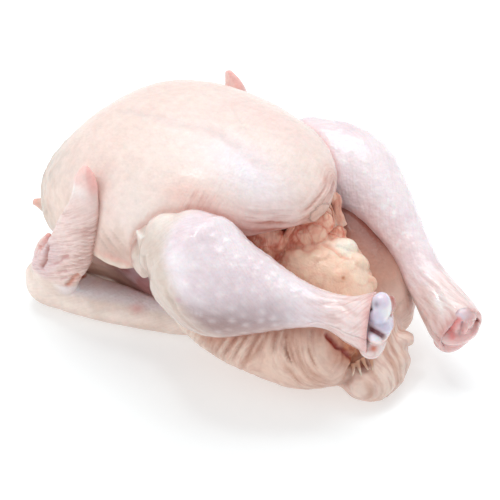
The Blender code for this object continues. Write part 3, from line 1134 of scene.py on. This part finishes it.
def work_drumstick(piece, stations, base, own_marks, cup_depth):
    points = measured(piece)
    along, turn, radius = leg_place(points, stations)
    share = along / along.max()
    dots = follicles(along, turn, radius) * ramp(share, 0.06, 0.2) * ramp(share, 0.84, 0.66)
    touch = near_to(distance_to(points, body_tree, 12), 1.8)
    ankle = ramp(share, 0.7, 0.9)
    cords = np.sin(turn * 11 + 3 * lumps(points, 10, 12))
    below = downward_shade(piece)
    own_rise, own_layers = own_marks(points, share, dots)
    rise = 0.4 * lumps(points, 22, 10) + 0.16 * lumps(points, 8, 11)
    rise += 0.3 * ankle * cords * ramp(share, 1, 0.9) + 0.34 * dots - 0.35 * touch
    push(piece, rise + own_rise)
    inner, rim = ankle_cup(piece, stations, cup_depth)
    layers = [
        ("#DCC2CB", 0.35 * ramp(lumps(points, 15, 13), -0.1, 0.9)),
        ("#FFF7FA", 0.7 * dots),
        ("#F7E0DC", 0.85 * ankle),
        # painted shade between the ankle's cords
        ("#D9A69F", 0.3 * ankle * ramp(cords, -0.2, -1)),
        *own_layers,
        # painted shade underneath and where the leg touches the body
        ("#C9A9A2", 0.5 * below),
        ("#DDA79C", 0.5 * touch),
        ("#E6A9A4", 0.6 * rim),
        ("#C97E7C", inner),
    ]
    dress(piece, base, layers, wrinkle=0.2 + 0.5 * ankle, grain=turn * radius, wet=0.65 + 0.35 * ankle)


body_tree = tree_of(body)
work_drumstick(drumstick_right, DRUMSTICK_RIGHT, "#F9EEF4", near_leg, cup_depth=1)
work_drumstick(drumstick_left, DRUMSTICK_LEFT, "#FFF0F5", far_leg, cup_depth=5)

# %% [markdown]
# ## Wing relief and colour
# The hand's outer edge is scalloped by the quill follicles of the flight feathers, and loose skin wrinkles
# across it. The tip is pink, where the skin was bruised in plucking, and the thumb beside it is scabby. The
# near wing's creases are drawn on whatever surface the camera sees there, so they can't sink past the skin.

# %% Where the near wing's marks lie
SCALLOP_SPACING = 2.25
THUMB_CREASE = (
    (-78.8, -61.5, 41.5),
    (-77.5, -64, 39.5),
    (-77, -66.5, 36),
    (-78.2, -67.8, 32.5),
    (-80, -68.5, 29),
)
ELBOW_FOLD = (
    (-54, -65, 36),
    (-57.5, -66.9, 33),
    (-59.6, -66.6, 29.5),
    (-62.1, -66.5, 26.5),
    (-65, -66.5, 24.5),
)
HAND_FOLDS = (
    ((-62, -68, 42), (-68, -68.5, 38), (-73, -68.5, 36)),
    ((-60, -67.8, 37), (-66, -68.5, 33), (-71, -68.5, 31)),
    ((-58, -67.5, 47), (-63, -68, 43), (-68, -67.5, 41)),
    ((-61, -67, 32), (-66, -68, 29), (-70, -68, 28)),
)
HAND_GLINT = (-55.5, -59.8, 84)
print(len(HAND_FOLDS), "folds on the near hand, and a scallop every", SCALLOP_SPACING, "mm")


# %% Work the wings
def work_wing(piece, hand, side):
    points = measured(piece)
    x, y, z = points.T
    mirrored_points = np.stack([x, -np.abs(y), z], axis=1)
    flat = seen(mirrored_points)
    shown = ramp((normals_of(piece) * (1, -side, 1)) @ TOWARDS_CAMERA, -0.1, 0.2)
    hand_rows = np.array([row[:5] for row in hand], float)
    on_hand = ramp(line_distance(points, hand_rows[:, :3])[0], 17, 13) * ramp(z, 24, 30)
    off_axis = x - np.interp(z, hand_rows[:, 2], hand_rows[:, 0])
    edge = off_axis / np.interp(z, hand_rows[:, 2], hand_rows[:, 4])
    outer = ramp(edge, 0.35, 0.8) * on_hand * ramp(z, 74, 66) * ramp(z, 38, 46)
    scallops = np.sin(2 * math.pi * z / SCALLOP_SPACING)
    lines = z - 0.75 * off_axis
    skin_lines = streaks_along(lines, x, 1.5, 22)
    thumb = spot(mirrored_points, (-82, -64, 39), (4.5, 5, 7)) * ramp(x, -74, -78)
    pinch = stroke(flat, seen(THUMB_CREASE), 1.2) * shown
    elbow_fold = stroke(flat, seen(ELBOW_FOLD), 1.2) * shown
    hand_folds = sum(crease(flat, seen(line), 1.0, 0.6) for line in HAND_FOLDS) * shown
    touch = near_to(distance_to(points, body_tree, 10), 1.5)

    rise = 0.3 * lumps(points, 12, 20) + 0.14 * lumps(points, 4.5, 21)
    rise += outer * 0.42 * scallops
    rise += on_hand * (1 - outer) * 0.4 * skin_lines * ramp(z, 80, 68)
    rise += 0.5 * hand_folds - 1.5 * pinch - 1.2 * elbow_fold - 0.3 * touch
    rise += thumb * 0.5 * lumps(points, 1.8, 25)
    push(piece, rise)

    layers = [
        ("#E0CBBE", 0.6 * ramp(lumps(points, 8, 23), -0.1, 0.8)),
        # a painted highlight along the forearm's top
        ("#FDF7FC", 0.9 * ramp(z, 15.5, 19.5) * ramp(x, -72, -64) * ramp(on_hand, 0.4, 0)),
        # the hand, from its scalloped edge to its pink tip, with painted shade in its hollows and a painted
        # highlight
        ("#F1D7D2", 0.9 * on_hand),
        ("#DDB4AA", 0.7 * outer * ramp(scallops, 0.4, -0.6)),
        ("#CFA69E", 0.5 * on_hand * ramp(skin_lines, 0, -0.7) * ramp(z, 82, 68)),
        ("#DDBFC4", 0.6 * on_hand * ramp(z, 60, 42) * ramp(edge, 0.3, -0.2)),
        ("#FFF8F6", 0.95 * spot(flat, seen(HAND_GLINT)[0], (4.5, 4.5, 5))),
        ("#F8D3CD", 0.9 * ramp(z, 84, 90)),
        ("#EBA29C", 0.4 * ramp(z, 82, 88) * ramp(np.abs(edge), 0.6, 1.0)),
        ("#D59C9C", 0.75 * ramp(-hand_folds, 0.15, 0.8)),
        # the thumb and the creases beside it; the crease between thumb and hand is red with painted shade in
        # it
        ("#F2CBC6", 0.8 * thumb),
        ("#D58E84", 0.7 * thumb * threads(points, 2.6, 24, 0.25)),
        ("#EFABA6", 0.7 * spot(mirrored_points, (-79.5, -63, 46.5), (2.5, 3, 3))),
        ("#A9655A", 0.8 * pinch),
        ("#CF7257", 0.95 * elbow_fold),
        ("#E29F99", 0.6 * spot(mirrored_points, (-31.7, -50, 16.6), (3.5, 5, 1.8))),
        # painted shade underneath, where the wing touches the body, and in the recess over the upper arm
        ("#C9AA9C", 0.5 * downward_shade(piece)),
        ("#CFA093", 0.5 * touch),
        ("#8F5E60", ramp(x, -70, -60) * ramp(np.abs(y), 52, 46) * ramp(z, 21, 25)),
    ]
    wrinkled = 0.2 + 0.6 * on_hand * ramp(z, 82, 70)
    dress(piece, "#F5E4DA", layers, wrinkle=wrinkled, grain=lines, wet=0.5 + 0.3 * on_hand)


work_wing(wing_right, HAND_RIGHT, side=-1)
work_wing(wing_left, HAND_LEFT, side=1)

# %% [markdown]
# ## Fat relief and colour
# Raw fat is soft and granular, cream to orange, with small reddish vessels where it joins the skin. On its
# left the belly's lining was torn, so it is rougher and redder there.

# %% Work the fat
FAT_FOLDS = (
    ((41, 3, 62), (47.5, 4, 60), (53.5, 3.5, 58.5), (58, 6, 57), (60, 12, 55)),
    ((24, -8, 56), (26, -10.5, 53), (27, -13, 50)),
    ((28, -6, 60), (30, -10, 57), (31, -14, 54)),
)
points = measured(fat)
x, y, z = points.T
torn = ramp(x - 0.5 * y, 48, 32)
vessels = np.maximum(threads(points, 7, 34, 0.1), 0.7 * threads(points, 4, 38, 0.14) * torn)
fat_folds = sum(crease(points, line, 1.6, 0.25) for line in FAT_FOLDS)
rise = 0.6 * lumps(points, 11, 30) + 0.3 * lumps(points, 4, 31)
rise += torn * (0.9 * lumps(points, 4, 32) + 0.6 * lumps(points, 2, 35)) + fat_folds
push(fat, rise)
fat_layers = [
    ("#F7C4A8", 0.65 * ramp(lumps(points, 9, 33), 0, 0.8)),
    ("#FFF4E6", 1.3 * spot(points, (50, 12, 60), (8, 8, 6))),
    ("#FFEFDD", 0.7 * spot(points, (62, 4, 50), (8, 6, 6))),
    ("#FFC6AE", torn * 0.85),
    ("#EFA592", ramp(x - 0.5 * y, 34, 24) * 0.85),
    ("#D8583B", (0.15 + 0.6 * torn) * vessels),
    # painted shade in the fat's folds
    ("#EEA98D", 0.7 * ramp(-fat_folds, 0.2, 0.9)),
    ("#B5662F", 0.9 * spot(points, (61.4, -5, 54), (0.9, 0.9, 1.5))),
]
fat_grain = x + y + 4 * lumps(points, 6, 45)
dress(fat, "#FAD7BF", fat_layers, wrinkle=0.15 + 0.5 * torn, grain=fat_grain, wet=0.6)

# %% [markdown]
# ## Strands and shreds
# The strands are membrane: pink, with redder streaks down them, and pale where they run into the fat. The
# shreds at the vent have dried a little and end in pale tips.

# %% Work the strands and shreds
points = measured(strands)
x, y, z = points.T
push(strands, 0.25 * lumps(points, 3, 36))
strand_layers = [
    ("#D08A76", 0.7 * ramp(lumps(points * (1, 1, 0.4), 2, 37), 0, 0.7)),
    ("#F8DCCB", 0.7 * ramp(z, 66, 60) * ramp(x, 30, 34)),
]
dress(strands, "#F0C0AC", strand_layers, wrinkle=0.5, grain=y, wet=0.6)

z = measured(shreds)[:, 2]
dress(shreds, "#C89A80", [("#EAD9C8", ramp(z, 22, 19))], wrinkle=0.3, grain=z, wet=0.5)

# %% [markdown]
# ## The near joint
# On the near hock a lilac band of cartilage lies over the joint's dark slit, with a pit and a small hole in
# the knob above it and a white-pink pad below. Its marks, too, are drawn on the surface that the camera
# sees.

# %% Work the near joint
SLIT = ((98.6, -38, 63), (99, -35.6, 61.2), (101.8, -34.7, 60.5), (104.1, -33.2, 58.6), (104.9, -30.7, 55.9))
BAND = ((98, -37, 66), (100, -35.3, 66), (102.8, -33, 64.5), (104.5, -29.5, 60.5), (104, -26, 56))
PIT = (98.9, -31.7, 72.6)
HOLE = (98, -34.7, 70.8)
PALE_CORNER = (96.7, -33.6, 72)
RED_DOT = (100.4, -33.8, 49.6)


def seen_spot(flat, centre, radii):
    """A spot on the surface that the camera sees, over a point of the bird's frame."""
    return spot(flat, seen(centre)[0], radii)


points = measured(hock_right)
z = points[:, 2]
flat = seen(points)
slit = stroke(flat, seen(SLIT), 1.3)
band = stroke(flat, seen(BAND), 2.4)
pit = seen_spot(flat, PIT, (1.8, 1.8, 2))
hole = seen_spot(flat, HOLE, (0.9, 0.9, 1.0))
tendon = ((points - TENDON) ** 2 / np.square(np.array(TENDON_RADII) + 0.8)).sum(axis=1)
push(hock_right, 0.4 * lumps(points, 5, 40) + 0.9 * band - 2.2 * slit - pit - 0.8 * hole)
near_hock_layers = [
    ("#DFD6EA", 0.7 * ramp(lumps(points, 6, 41), -0.2, 0.6)),
    ("#D7D5EC", 0.8 * band),
    ("#EBD8D5", ramp(z, 58.5, 55.5)),
    ("#DDB9B4", 0.7 * ramp(z, 58, 55) * threads(points, 4, 42, 0.25)),
    ("#FFFFFF", 0.8 * seen_spot(flat, PALE_CORNER, (2, 2, 2.4))),
    # painted shade in the pit, the hole and the joint's slit
    ("#8F7C92", 0.8 * pit),
    ("#5B4A52", 0.9 * hole),
    ("#96666C", 1.5 * slit),
    ("#DF7C5E", 0.9 * seen_spot(flat, RED_DOT, (1.6, 1.6, 1.4))),
    ("#C4857C", ramp(tendon, 1.5, 1.0)),
]
dress(hock_right, "#F7F6FF", near_hock_layers, wrinkle=0.1, grain=z, wet=1)

# %% [markdown]
# ## The far joint
# The far hock shows flesh: pink folds with a red arc, and one patch of cartilage at the top.

# %% Work the far joint
FAR_ARC = ((111.5, 22, 40), (110, 19, 38), (109.3, 17.5, 34), (109.3, 18.5, 29.5), (109.5, 20, 26))
FAR_FOLDS = (
    ((112.5, 21.5, 39), (112, 21.5, 33), (110.5, 21, 27)),
    ((114.5, 25, 38), (114, 24.5, 33), (112, 23.5, 27)),
    ((116, 28, 37), (114.5, 27, 31), (112, 27, 24)),
)
FAR_GRISTLE = (111, 21, 42)
FAR_RED_DOT = (108.9, 20.4, 43)

points = measured(hock_left)
flat = seen(points)
arc = stroke(flat, seen(FAR_ARC), 1.6)
far_folds = sum(crease(flat, seen(line), 1.1, 0.7) for line in FAR_FOLDS)
gristle = seen_spot(flat, FAR_GRISTLE, (4.5, 4, 3.2))
push(hock_left, 0.5 * lumps(points, 6, 43) + 1.1 * far_folds + 0.5 * arc + 0.6 * gristle)
far_hock_layers = [
    ("#EFD3D0", 0.7 * ramp(lumps(points, 5, 44), -0.1, 0.7)),
    ("#E8DCE6", gristle),
    ("#EE9593", 0.9 * arc),
    # painted shade in the flesh's folds, over its red
    ("#A8545A", 0.8 * ramp(-far_folds, 0.2, 0.9)),
    ("#C4565A", 0.9 * seen_spot(flat, FAR_RED_DOT, (1.5, 1.5, 1.2))),
]
dress(hock_left, "#E3B4B1", far_hock_layers, wrinkle=0.1, grain=points[:, 2], wet=1)

# %% [markdown]
# ## Press everything on the board
# A soft bird flattens where it lies. What would reach below the board is brought up to it.

# %% Settle on the floor
BOARD = 0.05

for piece in (body, drumstick_right, drumstick_left, wing_right, wing_left):
    points = points_of(piece)
    sunk = points[:, 2] < BOARD * MM
    points[:, 2] = np.maximum(points[:, 2], BOARD * MM)
    place_points(piece, points)
    print(f"{piece.name}: {sunk.sum()} points brought up to the board")

# %% [markdown]
# ## Skin
# Raw chicken skin is thin, moist collagen over fat: light goes in and comes out pink, so the shader
# scatters it under the surface, and a thin wet coat gives small sharp glints. The painted tint is broken up
# by mottling, the wrinkles follow the grain that was kept with each point, and pores cover the rest.

# %% Node helper
MOTTLES_PER_METRE = 260
WRINKLES_PER_MM = 0.75
WRINKLE_BREAKS_PER_METRE = 110
HOLLOW_SHADE = (0.16, 0.27, 0.28)
PORE_HEIGHT = 0.22
WRINKLE_DEPTH = 0.0009


def add_node(tree, kind, settings=None, links=None, output=0):
    """Adds one shader node of a kind, sets and links its inputs, and gives one of its outputs."""
    made = tree.nodes.new("ShaderNode" + kind)
    for key, value in (settings or {}).items():
        if isinstance(key, str) and hasattr(made, key):
            setattr(made, key, value)
        else:
            made.inputs[key].default_value = value
    for key, socket in (links or {}).items():
        tree.links.new(socket, made.inputs[key])
    return made.outputs[output]


print("one mottle for every", round(1000 / MOTTLES_PER_METRE, 1), "mm of skin")


# %% Wrinkles, as a height and as a shade
def wrinkle_nodes(tree, place, wrinkle):
    """Noise that is even along the kept grain and quick across it: its height, and the light it keeps."""
    grain = add_node(tree, "Attribute", {"attribute_name": "grain"}, output="Fac")
    across = add_node(tree, "Math", {"operation": "MULTIPLY", 1: WRINKLES_PER_MM}, {0: grain})
    spread = add_node(
        tree, "VectorMath", {"operation": "SCALE", "Scale": WRINKLE_BREAKS_PER_METRE}, {0: place}
    )
    along_x = add_node(tree, "SeparateXYZ", links={0: spread}, output="X")
    along_z = along_x.node.outputs["Z"]
    line_place = add_node(tree, "CombineXYZ", links={"X": across, "Y": along_x, "Z": along_z})
    line = add_node(tree, "TexNoise", {"Scale": 1.0, "Detail": 2, "Roughness": 0.5}, {"Vector": line_place})
    height = add_node(tree, "Math", {"operation": "MULTIPLY"}, {0: line, 1: wrinkle})
    hollow = add_node(
        tree,
        "MapRange",
        {"From Min": 0.36, "From Max": 0.54, "To Min": 1, "To Max": 0},
        {"Value": line},
    )
    shade = add_node(tree, "Math", {"operation": "MULTIPLY"}, {0: hollow, 1: wrinkle})
    loss = add_node(tree, "VectorMath", {"operation": "SCALE", 0: HOLLOW_SHADE}, {"Scale": shade})
    kept = add_node(tree, "VectorMath", {"operation": "SUBTRACT", 0: (1, 1, 1)}, {1: loss})
    return height, kept


print("the deepest hollow keeps", [round(1 - part, 2) for part in HOLLOW_SHADE], "of red, green and blue")


# %% Moist surfaces
def moist_material(name, scatter, scatter_depth, pores_per_metre, coat, dry_roughness, wet_roughness):
    """A scattering surface in the painted tint, with mottles, wrinkles and pores under a thin wet coat."""
    made = bpy.data.materials.new(name)
    made.use_nodes = True
    tree = made.node_tree
    shader = tree.nodes["Principled BSDF"]
    place = add_node(tree, "TexCoord", output="Object")
    tint = add_node(tree, "Attribute", {"attribute_name": "tint"}, output="Color")
    wrinkle = add_node(tree, "Attribute", {"attribute_name": "wrinkle"}, output="Fac")
    wet = add_node(tree, "Attribute", {"attribute_name": "wet"}, output="Fac")
    mottle = add_node(
        tree,
        "TexNoise",
        {"Scale": MOTTLES_PER_METRE, "Detail": 5, "Roughness": 0.65},
        {"Vector": place},
    )
    light = add_node(
        tree,
        "MapRange",
        {"From Min": 0.3, "From Max": 0.7, "To Min": 0.93, "To Max": 1.06},
        {"Value": mottle},
    )
    mottled = add_node(tree, "VectorMath", {"operation": "SCALE"}, {0: tint, "Scale": light})
    wrinkle_height, kept = wrinkle_nodes(tree, place, wrinkle)
    shaded = add_node(tree, "VectorMath", {"operation": "MULTIPLY"}, {0: mottled, 1: kept})
    pores = add_node(tree, "TexVoronoi", {"Scale": pores_per_metre}, {"Vector": place})
    height = add_node(
        tree, "Math", {"operation": "MULTIPLY_ADD", 1: PORE_HEIGHT}, {0: pores, 2: wrinkle_height}
    )
    bump = add_node(tree, "Bump", {"Strength": 0.8, "Distance": WRINKLE_DEPTH}, {"Height": height})
    gloss = add_node(tree, "MapRange", {"To Min": dry_roughness, "To Max": wet_roughness}, {"Value": wet})
    tree.links.new(shaded, shader.inputs["Base Color"])
    tree.links.new(bump, shader.inputs["Normal"])
    tree.links.new(gloss, shader.inputs["Roughness"])
    shader.inputs["IOR"].default_value = 1.42
    shader.inputs["Subsurface Weight"].default_value = scatter
    shader.inputs["Subsurface Radius"].default_value = (1.0, 0.4, 0.3)
    shader.inputs["Subsurface Scale"].default_value = scatter_depth
    shader.inputs["Coat Weight"].default_value = coat
    shader.inputs["Coat Roughness"].default_value = 0.12
    return made


print("wrinkles are up to", WRINKLE_DEPTH / MM, "mm deep")

# %% [markdown]
# ## Four moist materials
# The body's skin is soft and hardly shiny. The drumsticks' skin is stretched and wet, so the same skin gets
# a strong coat there. Fat lets more light in and has finer grains. Cartilage is glassy and smooth.

# %% Materials
skin = moist_material("moist_raw_poultry_skin", 0.25, 0.002, 640, 0.22, 0.5, 0.34)
leg_skin = moist_material("wet_drumstick_skin", 0.25, 0.002, 640, 0.8, 0.5, 0.3)
soft_fat = moist_material("soft_raw_fat", 0.4, 0.003, 900, 0.35, 0.45, 0.3)
cartilage = moist_material("wet_joint_cartilage", 0.6, 0.003, 300, 0.7, 0.35, 0.2)
MATERIALS = (
    (skin, (body, shreds, wing_right, wing_left)),
    (leg_skin, (drumstick_right, drumstick_left)),
    (soft_fat, (fat, strands)),
    (cartilage, (hock_right, hock_left)),
)
for material, wearers in MATERIALS:
    for piece in wearers:
        piece.data.materials.append(material)
    print(material.name, "is on", [piece.name for piece in wearers])
bpy.data.objects.remove(blank)

# %% [markdown]
# ## Floor and light
# The bird lies on a lit white table: the paper glows a little, so the floor stays white right up to a soft
# shadow, and light comes back up under the wings. One large softbox overhead and a little behind gives the
# broad shine on the breast, a small lamp the sharp glints, and a panel from the near side fills the shade
# under the drumstick.

# %% Floor
deselect()
bpy.ops.mesh.primitive_plane_add(size=6, location=(0, 0, 0))
floor = bpy.context.object
floor.name = "floor"
paper = bpy.data.materials.new("white_backdrop_paper")
paper.use_nodes = True
paper_shader = paper.node_tree.nodes["Principled BSDF"]
paper_shader.inputs["Base Color"].default_value = (0.70, 0.75, 0.765, 1)
paper_shader.inputs["Roughness"].default_value = 0.9
paper_shader.inputs["Emission Color"].default_value = (1, 1, 1, 1)
paper_shader.inputs["Emission Strength"].default_value = 0.4
floor.data.materials.append(paper)
print("floor:", floor.dimensions.x, "m wide")

# %% Studio light
world = bpy.data.worlds.new("studio")
bpy.context.scene.world = world
world.use_nodes = True
world.node_tree.nodes["Background"].inputs["Color"].default_value = (1, 1, 1, 1)
world.node_tree.nodes["Background"].inputs["Strength"].default_value = 0.62


def lamp(name, place, size, energy):
    """A square lamp that faces the bird from its place."""
    bpy.ops.object.light_add(type="AREA", location=place)
    made = bpy.context.object
    made.name = name
    made.data.size = size
    made.data.energy = energy
    made.rotation_euler = Vector(place).to_track_quat("Z", "Y").to_euler()


lamp("softbox", (-0.15, 0.35, 0.95), size=0.8, energy=4.6)
lamp("glint_lamp", (-0.2, -0.1, 0.95), size=0.14, energy=0.8)
lamp("fill_panel", (-0.6, -1.0, 0.3), size=0.9, energy=2.9)
bpy.context.scene.view_settings.view_transform = "Standard"
print("lights:", [light.name for light in bpy.data.lights])

# %% [markdown]
# ## Put in place
# Each finished piece rides on the bird's one body. The skin, the fat and the two joints take the place of
# the imported solids, which are hidden.

# %% Ride and replace
skins = (body, drumstick_right, drumstick_left, wing_right, wing_left, shreds)
for piece in (*skins, fat, strands, hock_right, hock_left):
    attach(piece, "root")
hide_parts("chicken")
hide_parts("belly_fat")
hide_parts("hock_joint_right")
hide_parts("hock_joint_left")
